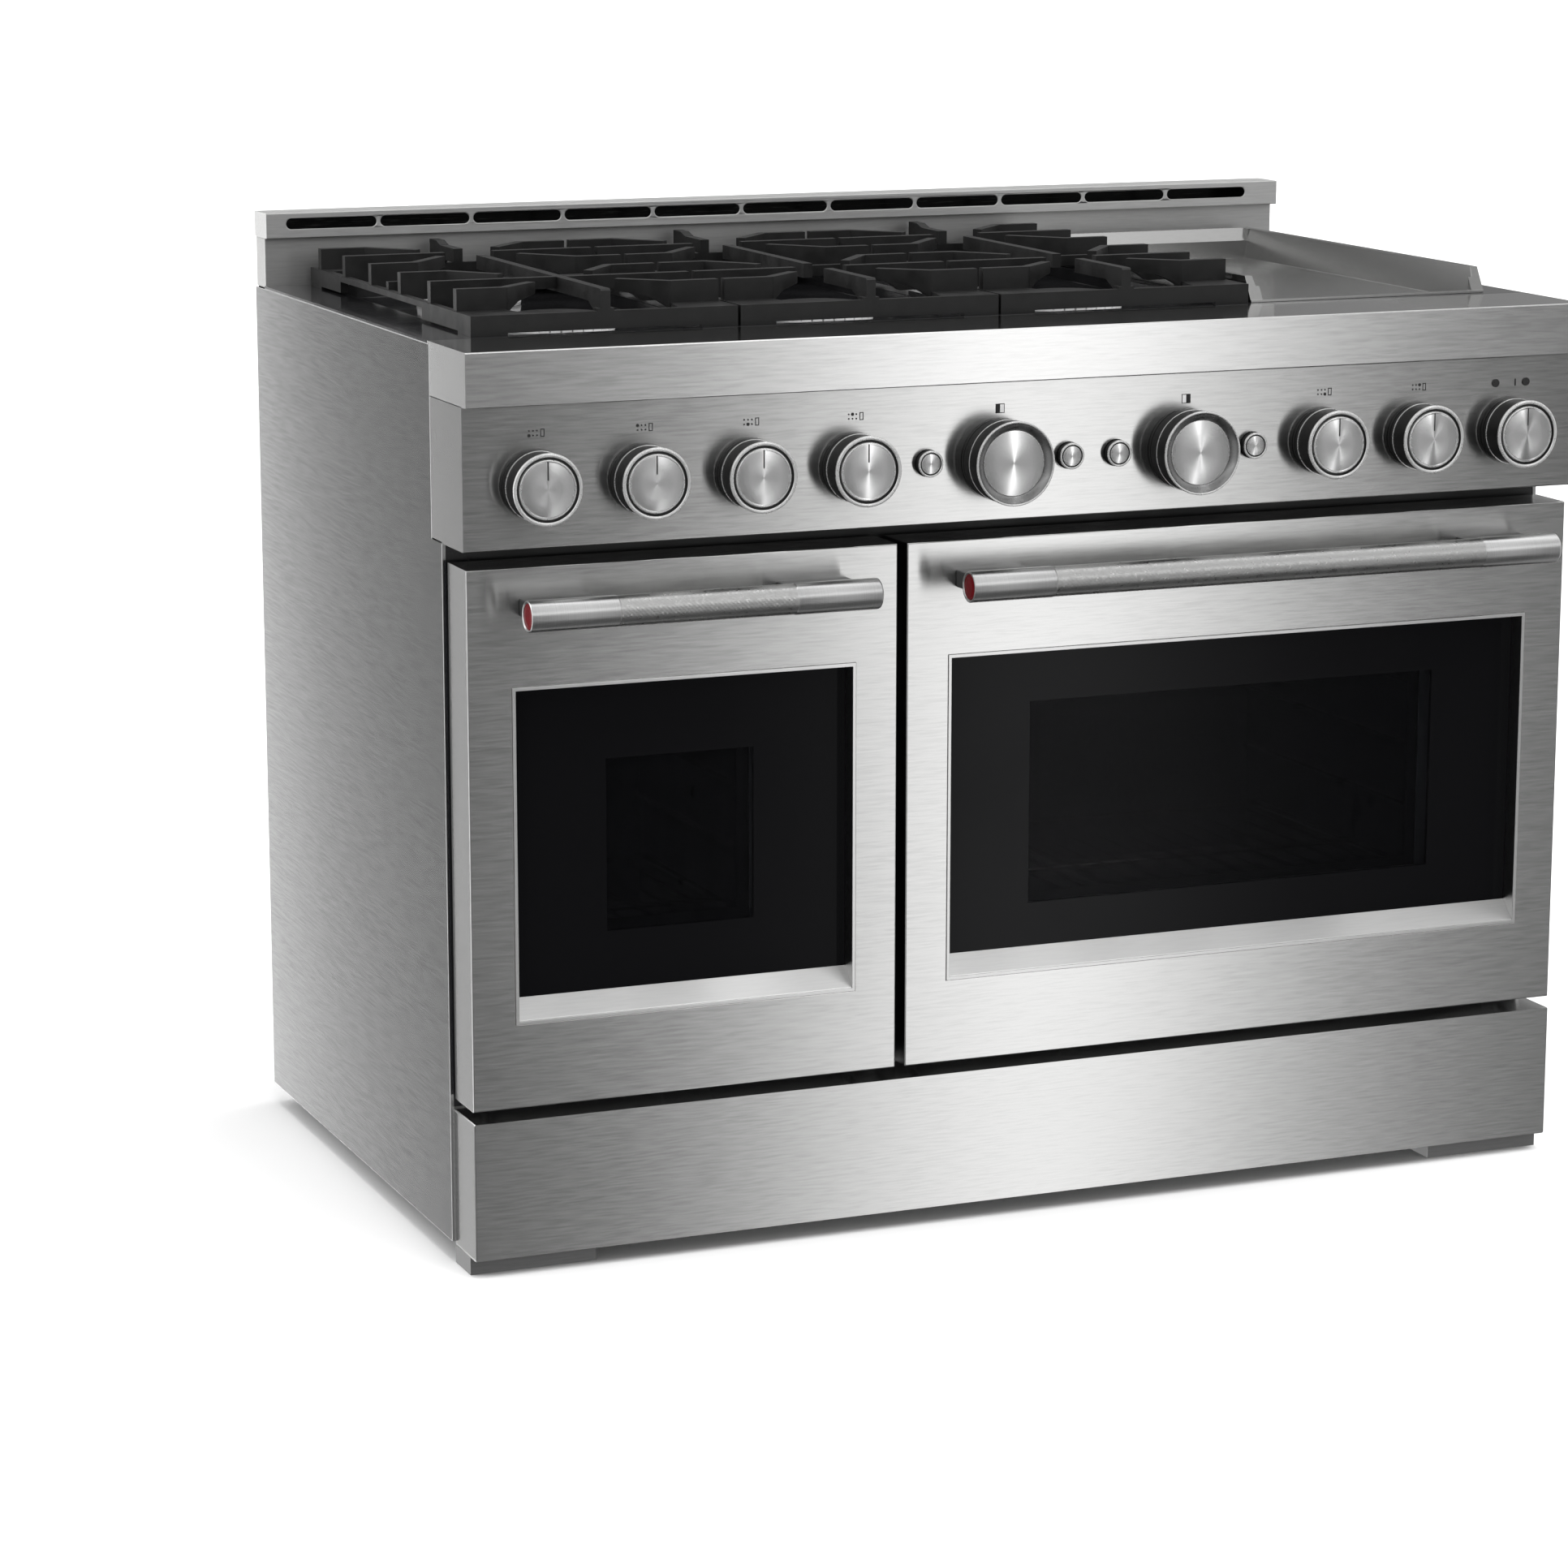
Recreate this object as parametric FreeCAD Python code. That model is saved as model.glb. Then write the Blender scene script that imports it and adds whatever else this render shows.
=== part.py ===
import FreeCAD, Part
import math
import os

# Freestanding gas range, 1216 mm class: six sealed gas burners under three
# cast-iron grates, a griddle, a small left oven and a large right oven.
# Units are millimetres. +Z is up, +X is to the right of a person facing the
# controls and -Y points out of the front. The origin is the centre of the
# footprint at floor level. Depths "d" are counted backwards from the front
# face of the landing ledge.

V = FreeCAD.Vector
os.makedirs("parts", exist_ok=True)

# ---------------------------------------------------------------- dimensions
W = 1216.0                 # overall width
XS = W / 2                 # outer face of the side panels
H_TOP = 914.0              # cooking surface (ledge top) above the floor
H_ALL = 992.0              # top of the backguard
D_ALL = 768.0              # handle front to back
D_REAR = 715.5             # back face, counted from the ledge front
HANDLE_D = -37.0           # axis of the handle bars
HANDLE_R = 15.5
HANDLE_Z = 666.0
Y0 = -D_ALL / 2 - (HANDLE_D - HANDLE_R)   # y of d = 0

LEDGE_Z = 861.0            # underside of the landing ledge
LEDGE_D = 115.0            # its depth
PANEL_D = 13.2             # face of the control panel
PANEL_Z = 722.4            # its lower edge
RETURN_D = 110.0           # depth of its side returns
DOOR_D = 15.5              # outer face of the doors
DOOR_T = 56.0              # door thickness
DOOR_Z0, DOOR_Z1 = 170.2, 704.6
DOORS = {"left": (-604.8, -157.2), "right": (-146.8, 604.8)}
WIN = {"left": (-560.2, -201.4, 254.0, 588.4),
       "right": (-101.6, 560.4, 255.0, 589.6)}
GLASS_D = 35.0             # front of the window glass
FRAME_D = 79.5             # front of the chassis face frame
KICK_D = 14.3
KICK_Z0, KICK_Z1 = 18.7, 158.2
SIDE_Z0 = 22.0
PIVOT_D, PIVOT_Z = 25.0, 181.0     # oven door pivots
CAV_D = 600.0              # back of the oven cavities
CAV = {"left": (-545.0, -215.0, 222.0, 640.0),
       "right": (-88.0, 546.0, 222.0, 640.0)}

KNOB_Z = 783.4
KNOB_X = [-534.2, -424.2, -314.3, -204.5, 313.9, 423.9, 534.0]
KNOB_R = 35.0
KNOB_L = 35.8              # how far a knob's front stands off the panel
DIAL_X = [-48.4, 157.4]
DIAL_R = 42.2
DIAL_L = 38.8
BUTTON_X = [-126.6, 27.2, 79.6, 232.6]
BUTTON_R = 13.3
BUTTON_L = 9.0
BUTTON_TRAVEL = 3.0

GRATES = [(-560.0, -282.0), (-279.2, 1.2), (4.0, 285.4)]
GR_D0, GR_D1 = 126.7, 669.0
GR_TOP = 955.7
RAIL_TOP = 934.0
BURN_D = [262.0, 552.0]    # front and rear burner rows
WELL_Z = 900.0             # floor of the burner wells
GRID_X = (290.0, 566.5)
GRID_D = (129.0, 664.0)
GRID_TOP = 940.4
GRID_PLATE = 907.0
GRID_LIP = 916.6

HOOD_D = 670.7             # front face of the vent hood on the backguard
RISER_D = 682.7
HOOD_Z = 965.0
SLOT_N, SLOT_W, SLOT_H, SLOT_P = 11, 100.6, 11.5, 105.1
SLOT_X0, SLOT_Z = -585.4, 980.4


def Y(d):
    return Y0 + d


def B(x0, x1, d0, d1, z0, z1):
    return Part.makeBox(x1 - x0, d1 - d0, z1 - z0, V(x0, Y(d0), z0))


def cyl_y(x, z, d0, d1, r):
    return Part.makeCylinder(r, d1 - d0, V(x, Y(d0), z), V(0, 1, 0))


def cyl_x(d, z, x0, x1, r):
    return Part.makeCylinder(r, x1 - x0, V(x0, Y(d), z), V(1, 0, 0))


def cyl_z(x, d, z0, z1, r):
    return Part.makeCylinder(r, z1 - z0, V(x, Y(d), z0), V(0, 0, 1))


def face(pts):
    return Part.Face(Part.makePolygon([V(*p) for p in pts] + [V(*pts[0])]))


def prism_x(pts, x0, x1):          # pts are (d, z)
    return face([(x0, Y(d), z) for d, z in pts]).extrude(V(x1 - x0, 0, 0))


def prism_y(pts, d0, d1):          # pts are (x, z)
    return face([(x, Y(d0), z) for x, z in pts]).extrude(V(0, d1 - d0, 0))


def prism_z(pts, z0, z1):          # pts are (x, d)
    return face([(x, Y(d), z0) for x, d in pts]).extrude(V(0, 0, z1 - z0))


def fuse(*s):
    s = [t for t in s if t is not None]
    r = s[0]
    if len(s) > 1:
        r = s[0].multiFuse(s[1:])
    return r.removeSplitter()


def cut(a, *b):
    return a.cut(list(b)).removeSplitter()


def turned(x, z, prof):
    """Solid of revolution about the Y axis line through (x, z).
    prof is a closed list of (radius, d)."""
    pts = [V(x + r, Y(d), z) for r, d in prof]
    f = Part.Face(Part.makePolygon(pts + [pts[0]]))
    return f.revolve(V(x, 0, z), V(0, 1, 0), 360)


def turned_z(x, d, prof):
    pts = [V(x + r, Y(d), z) for r, z in prof]
    f = Part.Face(Part.makePolygon(pts + [pts[0]]))
    return f.revolve(V(x, Y(d), 0), V(0, 0, 1), 360)


def stadium_y(x0, x1, z, h, d0, d1):
    r = h / 2
    return fuse(B(x0 + r, x1 - r, d0, d1, z - r, z + r),
                cyl_y(x0 + r, z, d0, d1, r), cyl_y(x1 - r, z, d0, d1, r))


def save(name, *solids):
    sol = []
    for s in solids:
        sol += s.Solids
    shape = sol[0] if len(sol) == 1 else Part.makeCompound(sol)
    bad = [s for s in sol if not s.isValid() or s.Volume <= 0]
    if bad:
        print("INVALID", name, len(bad))
    shape.exportStep("parts/%s.step" % name)
    bb = shape.BoundBox
    print("%-26s %2d  x %.1f %.1f  y %.1f %.1f  z %.1f %.1f" % (
        name, len(sol), bb.XMin, bb.XMax, bb.YMin, bb.YMax, bb.ZMin, bb.ZMax))


# ------------------------------------------------------------------- chassis
T = 1.5                                     # sheet thickness

# welded base: a ring of channel with a centre member, carried by four legs
base = cut(B(-604, 604, 84, 712, 24.5, 62), B(-566, -14, 122, 674, 20, 70),
           B(14, 566, 122, 674, 20, 70), B(-600, 600, 88, 708, 27, 59.5))
LEGS = [(-556, 103), (556, 103), (-556, 690), (556, 690)]
base = cut(base, *[cyl_z(x, d, 20, 40, 6.2) for x, d in LEGS])
save("base_frame", base)

legs = []
for x, d in LEGS:
    legs.append(fuse(cyl_z(x, d, 0, 12, 19), cyl_z(x, d, 12, 24.4, 12),
                     cyl_z(x, d, 24.4, 50, 6)))
save("levelling_legs", *legs)

# front leg shields under the two ends of the toe kick
shields = []
for x0, x1 in ((-604.8, -473.0), (473.0, 604.8)):
    shields.append(cut(B(x0, x1, 32.7, 79, 0.0, 18.5), B(x0 + T, x1 - T, 32.7 + T, 90, -1, 17)))
save("leg_shields", *shields)


def side(s):
    x = s * XS
    a, b = (x, x + T) if s < 0 else (x - T, x)
    pts = [(79, SIDE_Z0), (79, PANEL_Z - 0.2), (RETURN_D + 0.3, PANEL_Z - 0.2),
           (RETURN_D + 0.3, 910.8), (D_REAR, 910.8), (D_REAR, SIDE_Z0)]
    sheet = prism_x(pts, a, b)
    i0, i1 = (x + T, x + 22) if s < 0 else (x - 22, x - T)
    k0, k1 = (x + T, x + 3.9) if s < 0 else (x - 3.9, x - T)
    front = B(k0, k1, 79, 96, SIDE_Z0, PANEL_Z - 0.2)
    bottom = B(i0, i1, 79.5, 714, SIDE_Z0, SIDE_Z0 + T)
    rear = B(i0, i1, 712.5, 714, SIDE_Z0, 905)
    return fuse(sheet, front, bottom, rear)


save("side_panel_left", side(-1))
save("side_panel_right", side(1))

rear = cut(B(-605, 605, 714.1, D_REAR, SIDE_Z0 + 0.2, 911.5),
           *[stadium_y(x - 40, x + 40, z, 8, 700, 720)
             for x in (-420, -300, -180, 180, 300, 420) for z in (120, 140, 160, 800, 820, 840)])
rear = cut(rear, cyl_y(520, 95, 700, 720, 24))
save("rear_panel", rear)

# face frame around the two oven mouths
ff = B(-603.9, 603.9, FRAME_D, FRAME_D + 4, 160, 721.8)
for k in ("left", "right"):
    x0, x1, z0, z1 = CAV[k]
    ff = cut(ff, B(x0, x1, 70, 90, z0, z1))
ff = fuse(ff, B(-603.9, 603.9, FRAME_D + 4, FRAME_D + 30, 160, 163))
save("face_frame", ff)

# oven liners: enamelled boxes with pressed rack ledges, open at the front
LEDGES = [272, 340, 408, 476, 544]
for k in ("left", "right"):
    x0, x1, z0, z1 = CAV[k]
    d0 = FRAME_D + 4.1
    box = cut(B(x0 - 1.6, x1 + 1.6, d0, CAV_D + 1.6, z0 - 1.6, z1 + 1.6),
              B(x0, x1, d0 - 5, CAV_D, z0, z1))
    lip = cut(B(x0 - 14, x1 + 14, d0, d0 + 1.6, z0 - 14, z1 + 14),
              B(x0, x1, d0 - 1, d0 + 3, z0, z1))
    rails = []
    for z in LEDGES:
        rails.append(B(x0 - 0.1, x0 + 9, 110, 590, z, z + 5))
        rails.append(B(x1 - 9, x1 + 0.1, 110, 590, z, z + 5))
    save("oven_liner_" + k, fuse(box, lip, *rails))

# mineral-wool wrap around both liners
ins = []
for k in ("left", "right"):
    x0, x1, z0, z1 = CAV[k]
    d0 = FRAME_D + 8
    a = x0 - 40 if k == "left" else x0 - 32
    b = x1 + 32 if k == "left" else x1 + 40
    ins.append(cut(B(a, b, d0, CAV_D + 42, z0 - 40, z1 + 42),
                   B(x0 - 1.8, x1 + 1.8, d0 - 5, CAV_D + 1.8, z0 - 1.8, z1 + 1.8)))
save("oven_insulation", *ins)

# door gaskets: a compressible tube clipped round each mouth
gk = []
for k in ("left", "right"):
    x0, x1, z0, z1 = CAV[k]
    gk.append(cut(B(x0 - 17, x1 + 17, 72.6, FRAME_D - 0.1, z0 - 17, z1 + 17),
                  B(x0 - 7, x1 + 7, 70, 90, z0 - 7, z1 + 7)))
save("door_gaskets", *gk)

# tube burners: one just above each oven floor and one under the griddle
tb = []
for k in ("left", "right"):
    x0, x1, z0, z1 = CAV[k]
    xm = (x0 + x1) / 2
    tb.append(cyl_y(xm, z0 + 22, 150, 560, 11))
tb.append(cyl_y((GRID_X[0] + GRID_X[1]) / 2, 878, 180, 620, 11))
save("tube_burners", *tb)

# ------------------------------------------------------------- ledge, panels
ledge = cut(B(-XS, XS, 0, LEDGE_D, LEDGE_Z, H_TOP),
            B(-XS + T, XS - T, T, LEDGE_D + 5, LEDGE_Z + T, H_TOP - T),
            B(-XS - 1, XS + 1, PANEL_D + 1.0, LEDGE_D + 5, LEDGE_Z - 5, LEDGE_Z + 0.6),
            B(-XS + T, XS - T, PANEL_D + 3, LEDGE_D + 5, LEDGE_Z - 5, H_TOP - T),
            B(-XS - 1, -XS + T, RETURN_D, LEDGE_D + 5, LEDGE_Z - 5, H_TOP - 3),
            B(XS - T, XS + 1, RETURN_D, LEDGE_D + 5, LEDGE_Z - 5, H_TOP - 3))
edges = [e for e in ledge.Edges
         if abs(e.BoundBox.YMin - Y(0)) < 1e-3 and abs(e.BoundBox.YMax - Y(0)) < 1e-3
         and e.BoundBox.XLength > 1000]
try:
    ledge = ledge.makeFillet(1.4, edges)
except Exception as err:
    print("ledge fillet", err)
save("landing_ledge", ledge)

panel = cut(B(-XS, XS, PANEL_D, RETURN_D, PANEL_Z, LEDGE_Z - 0.2),
            B(-XS + T, XS - T, PANEL_D + 2, RETURN_D + 5, PANEL_Z + T, LEDGE_Z + 5))
panel = cut(panel, B(-XS + T, XS - T, 60, RETURN_D + 5, PANEL_Z - 5, PANEL_Z + 5),
            B(-XS - 1, XS + 1, 78.6, RETURN_D + 5, PANEL_Z - 5, PANEL_Z + T))
holes = [cyl_y(x, KNOB_Z, 0, 30, 5.2) for x in KNOB_X + DIAL_X]
holes += [cyl_y(x, KNOB_Z, 0, 30, BUTTON_R + 0.4) for x in BUTTON_X]
holes += [cyl_y(x, 833.3, 0, 30, 4.3) for x in (514.9, 550.9)]
panel = cut(panel, *holes)
try:
    ed = [e for e in panel.Edges if e.BoundBox.XLength > 1000
          and abs(e.BoundBox.YMin - Y(PANEL_D)) < 1e-3 and abs(e.BoundBox.YMax - Y(PANEL_D)) < 1e-3]
    panel = panel.makeFillet(1.4, ed)
except Exception as err:
    print("panel fillet", err)
save("control_panel", panel)

lamps = [fuse(cyl_y(x, 833.3, PANEL_D - 1.2, 30, 4.2),
              cyl_y(x, 833.3, PANEL_D + 2.1, 22, 6.5)) for x in (514.9, 550.9)]

kick = cut(B(-604.8, 604.8, KICK_D, 79, KICK_Z0, KICK_Z1),
           B(-604.8 + T, 604.8 - T, KICK_D + T, 85, KICK_Z0 - 5, KICK_Z1 - T))
save("toe_kick", kick)

# thin bezels behind the knobs and dials
bez = []
for x in KNOB_X:
    bez.append(turned(x, KNOB_Z, [(9.0, PANEL_D - 0.05), (KNOB_R - 1.5, PANEL_D - 0.05),
                                  (KNOB_R - 1.5, PANEL_D - 2.2), (9.0, PANEL_D - 2.2)]))
for x in DIAL_X:
    bez.append(turned(x, KNOB_Z, [(9.0, PANEL_D - 0.05), (DIAL_R - 1.5, PANEL_D - 0.05),
                                  (DIAL_R - 1.5, PANEL_D - 2.2), (9.0, PANEL_D - 2.2)]))
save("knob_bezels", *bez)


# knob: barrel with a bright collar, a front ring, a groove and a turned disc,
# in one piece with its D-stem
def knob(x, r, length, disc_r, disc_in):
    f = PANEL_D - length                      # front plane
    b = PANEL_D - 2.7                         # back of the skirt
    prof = [(0.0, f + disc_in), (disc_r - 0.8, f + disc_in), (disc_r, f + disc_in + 0.8),
            (disc_r, f + disc_in + 2.6), (r - 2.8, f + disc_in + 2.6), (r - 2.8, f + 0.8),
            (r - 2.2, f), (r - 0.8, f), (r, f + 0.8), (r, f + 3.2),
            (r - 0.9, f + 3.6), (r - 0.9, b - 6.4), (r, b - 6.2), (r, b - 4.9),
            (r - 0.9, b - 4.7), (r - 0.9, b - 0.4), (r - 1.3, b), (4.0, b), (4.0, 46.0), (0.0, 46.0)]
    return turned(x, KNOB_Z, prof)


NAMES = ["burner_knob_1", "burner_knob_2", "burner_knob_3", "burner_knob_4",
         "burner_knob_5", "burner_knob_6", "griddle_knob"]
for n, x in zip(NAMES, KNOB_X):
    k = knob(x, KNOB_R, KNOB_L, 28.6, 0.6)
    line = B(x - 0.8, x + 0.8, PANEL_D - KNOB_L - 1, PANEL_D - KNOB_L + 1.1,
             KNOB_Z + 9, KNOB_Z + 28.9)
    save(n, cut(k, line))


def dial(x):
    r, f, b = DIAL_R, PANEL_D - DIAL_L, PANEL_D - 2.7
    prof = [(0.0, f + 5.0), (32.4, f + 5.0), (39.2, f + 0.6), (39.6, f), (r - 0.8, f), (r, f + 0.8),
            (r, f + 3.0), (r - 0.9, f + 3.4), (r - 0.9, b - 15.4), (r, b - 15.2), (r, b - 14.2),
            (r - 0.9, b - 14.0), (r - 0.9, b - 0.4), (r - 1.3, b), (4.0, b), (4.0, 46.0), (0.0, 46.0)]
    return turned(x, KNOB_Z, prof)


save("oven_dial_left", dial(DIAL_X[0]))
save("oven_dial_right", dial(DIAL_X[1]))

for i, x in enumerate(BUTTON_X):
    f = PANEL_D - BUTTON_L
    r = BUTTON_R
    prof = [(0.0, f + 0.5), (r - 3.4, f + 0.5), (r - 3.4, f + 1.7), (r - 2.0, f + 1.7),
            (r - 2.0, f + 0.5), (r - 1.6, f), (r - 0.6, f), (r, f + 0.6),
            (r, PANEL_D + 10), (2.0, PANEL_D + 10), (2.0, PANEL_D + 16), (0.0, PANEL_D + 16)]
    save("push_button_%d" % (i + 1), turned(x, KNOB_Z, prof))

# behind the panel: gas cocks on a manifold, dial encoders, button switches
cocks = []
for x in KNOB_X:
    cocks.append(cut(B(x - 15, x + 15, 30, 75.4, KNOB_Z - 17, KNOB_Z + 17),
                     cyl_y(x, KNOB_Z, 20, 48, 4.08)))
save("gas_cocks", *cocks)
man = fuse(cyl_x(88, KNOB_Z, -570, 570, 12.5))
man = cut(man, cyl_x(88, KNOB_Z, -565, 565, 10.0))
sw = []
for x in DIAL_X:
    sw.append(cut(B(x - 20, x + 20, 30, 60, KNOB_Z - 20, KNOB_Z + 20),
                  cyl_y(x, KNOB_Z, 20, 48, 4.08)))
for x in BUTTON_X:
    sw.append(cut(B(x - 10, x + 10, 27, 46, KNOB_Z - 10, KNOB_Z + 10),
                  cyl_y(x, KNOB_Z, 20, PANEL_D + 16 + BUTTON_TRAVEL + 0.8, 2.3)))
save("switches_and_lamps", *(sw + lamps))

# gas inlet at the back, low on the right: a pipe nipple with a 1/2 inch bore
inlet = cut(cyl_y(520, 95, 640, D_REAR - 0.5, 10.7), cyl_y(520, 95, 630, D_REAR + 1, 7.9))
save("gas_supply_pipes", man, inlet)

# ------------------------------------------------------------------ cooktop
pan = fuse(B(-XS, XS, LEDGE_D + 0.3, 682.2, 911.0, H_TOP))
for i, (x0, x1) in enumerate(GRATES):
    w0, w1 = x0 + 10, x1 - 10
    pan = fuse(pan, B(w0 - T, w1 + T, 129.5 - T + 1, 660 + T, WELL_Z - T, 912))
    pan = cut(pan, B(w0, w1, 129.5 + 1, 660, WELL_Z, H_TOP + 2))
pan = cut(pan, B(GRID_X[0] + 4, GRID_X[1] - 4, 135, 656, 890, 920))
for x0, x1 in GRATES:
    xc = (x0 + x1) / 2
    for d in BURN_D:
        pan = cut(pan, cyl_z(xc, d, 890, 910, 34))
save("cooktop_pan", pan)

bases, caps = [], []
for x0, x1 in GRATES:
    xc = (x0 + x1) / 2
    for d in BURN_D:
        b = turned_z(xc, d, [(0, 868), (24, 868), (33.6, 880), (33.6, WELL_Z + 0.2), (55, WELL_Z + 0.2),
                             (55.5, WELL_Z + 3), (54, WELL_Z + 10.5), (0, WELL_Z + 10.5)])
        ports = []
        for n in range(30):
            a = 360.0 * n / 30
            s = Part.makeBox(14, 1.9, 9, V(xc + 46, Y(d) - 0.95, WELL_Z + 4.0))
            s.rotate(V(xc, Y(d), 0), V(0, 0, 1), a)
            ports.append(s)
        b = cut(b, *ports)
        ig = cyl_z(xc - 40, d + 44, WELL_Z + 0.2, WELL_Z + 14, 3.2)
        bases.append(b)
        bases.append(ig)
        caps.append(turned_z(xc, d, [(0, WELL_Z + 10.7), (49.5, WELL_Z + 10.7), (51.5, WELL_Z + 12.5),
                                     (51.5, WELL_Z + 15.5), (49.0, WELL_Z + 17.8), (30, WELL_Z + 18.6),
                                     (0, WELL_Z + 18.8)]))
save("burner_bases", *bases)
save("burner_caps", *caps)

# griddle: a plate with splash walls left, right and rear and a rolled front
gx0, gx1 = GRID_X
gd0, gd1 = GRID_D
g = B(gx0, gx1, gd0, gd1, 901.0, GRID_TOP)
g = cut(g, prism_y([(gx0 + 14, GRID_PLATE), (gx1 - 14, GRID_PLATE), (gx1 - 8, GRID_TOP + 1),
                    (gx0 + 8, GRID_TOP + 1)], gd0 + 9, gd1 - 21))
g = cut(g, prism_x([(gd0 - 1, GRID_LIP), (gd0 + 1, GRID_LIP), (gd0 + 15, GRID_TOP),
                    (gd0 + 15, GRID_TOP + 5), (gd0 - 1, GRID_TOP + 5)], gx0 - 1, gx1 + 1))
g = cut(g, B(gx0 + 14, gx1 - 14, gd0 - 1, gd0 + 10, GRID_LIP, GRID_TOP + 5))
g = cut(g, prism_x([(gd1 - 21.5, 927.0), (gd1 - 20.5, 927.0), (gd1 - 8, GRID_TOP + 1),
                    (gd1 - 21.5, GRID_TOP + 1)], gx0 + 10, gx1 - 10))
g = cut(g, B(gx0 - 1, gx0 + 5, gd0 - 1, gd0 + 8, 895, H_TOP + 0.1),
        B(gx1 - 5, gx1 + 1, gd0 - 1, gd0 + 8, 895, H_TOP + 0.1),
        B(gx0 - 1, gx1 + 1, gd0 - 1, gd0 + 7, 895, H_TOP + 0.1),
        B(gx0 - 1, gx1 + 1, gd1 - 9, gd1 + 1, 895, H_TOP + 0.1),
        B(gx0 - 1, gx0 + 5, gd0 - 1, gd1 + 1, 895, H_TOP + 0.1),
        B(gx1 - 5, gx1 + 1, gd0 - 1, gd1 + 1, 895, H_TOP + 0.1))
save("griddle", g)


# ------------------------------------------------------------------- grates
def path(pts, w, z0, z1):
    """Bar of width w along a plan polyline of (x, d) points."""
    out = []
    for (xa, da), (xb, db) in zip(pts, pts[1:]):
        ln = math.hypot(xb - xa, db - da)
        nx, nd = -(db - da) / ln * w / 2, (xb - xa) / ln * w / 2
        out.append(prism_z([(xa + nx, da + nd), (xb + nx, db + nd),
                            (xb - nx, db - nd), (xa - nx, da - nd)], z0, z1))
    for x, d in pts[1:-1]:
        out.append(cyl_z(x, d, z0, z1, w / 2))
    return out


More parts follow.
